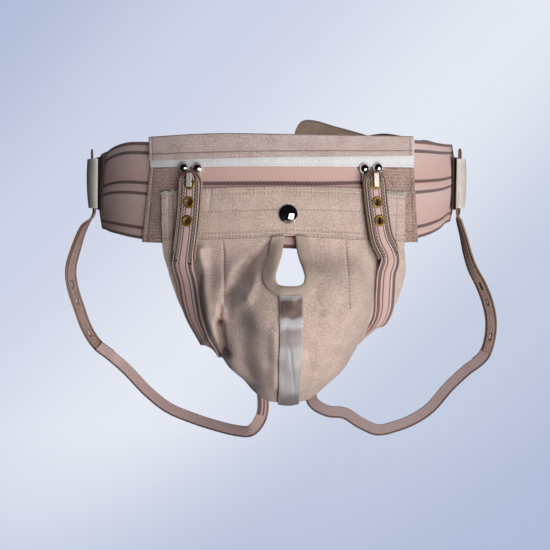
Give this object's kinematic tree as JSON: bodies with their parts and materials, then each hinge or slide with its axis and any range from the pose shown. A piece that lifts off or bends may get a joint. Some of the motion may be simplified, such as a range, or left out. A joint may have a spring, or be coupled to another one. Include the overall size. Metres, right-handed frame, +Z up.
{
  "type": "hernia belt",
  "caption": "Worn hernia belt: a wide striped elastic waist belt with a sewn cloth cup pouch, strap ends on hooks and eyelets, and two leg straps.",
  "frame": {"origin": "centre of the waist loop, at the height of the belt's middle", "axes": "+X to the right of a viewer in front of the belt, +Y from the front to the back, +Z up"},
  "size_m": [0.4083, 0.2695, 0.2986],
  "materials": {
    "webbing": "woven elastic with dark stripes",
    "twill": "matte cotton twill",
    "coarse_cloth": "open weave",
    "white_tape": "matte tape",
    "binding_tape": "herringbone tape",
    "satin": "satin ribbon",
    "brown_leather": "worn smooth",
    "tan_leather": "worn smooth",
    "pale_leather": "soft matte",
    "chrome": "polished",
    "brass": "aged"
  },
  "bodies": {
    "root": {"waist_belt": "webbing", "closure_tab": "tan_leather", "white_facing": "white_tape", "top_flap": "twill", "waistband": "twill", "pouch": "twill", "keyhole_tape": "binding_tape", "centre_ribbon": "satin", "snap_cap": "chrome", "patch_left": "coarse_cloth", "strap_leather_left": "brown_leather", "front_strap_left": "webbing", "eyelet_left_1": "brass", "eyelet_left_2": "brass", "eyelet_left_3": "brass", "hook_left": "chrome", "rivet_left_1": "chrome", "rivet_left_2": "chrome", "keeper_base_left": "brown_leather", "keeper_left": "pale_leather", "leg_leather_left": "brown_leather", "leg_strap_left": "webbing", "patch_right": "coarse_cloth", "strap_leather_right": "brown_leather", "front_strap_right": "webbing", "eyelet_right_1": "brass", "eyelet_right_2": "brass", "eyelet_right_3": "brass", "hook_right": "chrome", "rivet_right_1": "chrome", "rivet_right_2": "chrome", "keeper_base_right": "brown_leather", "keeper_right": "pale_leather", "leg_leather_right": "brown_leather", "leg_strap_right": "webbing"}
  },
  "joints": []
}
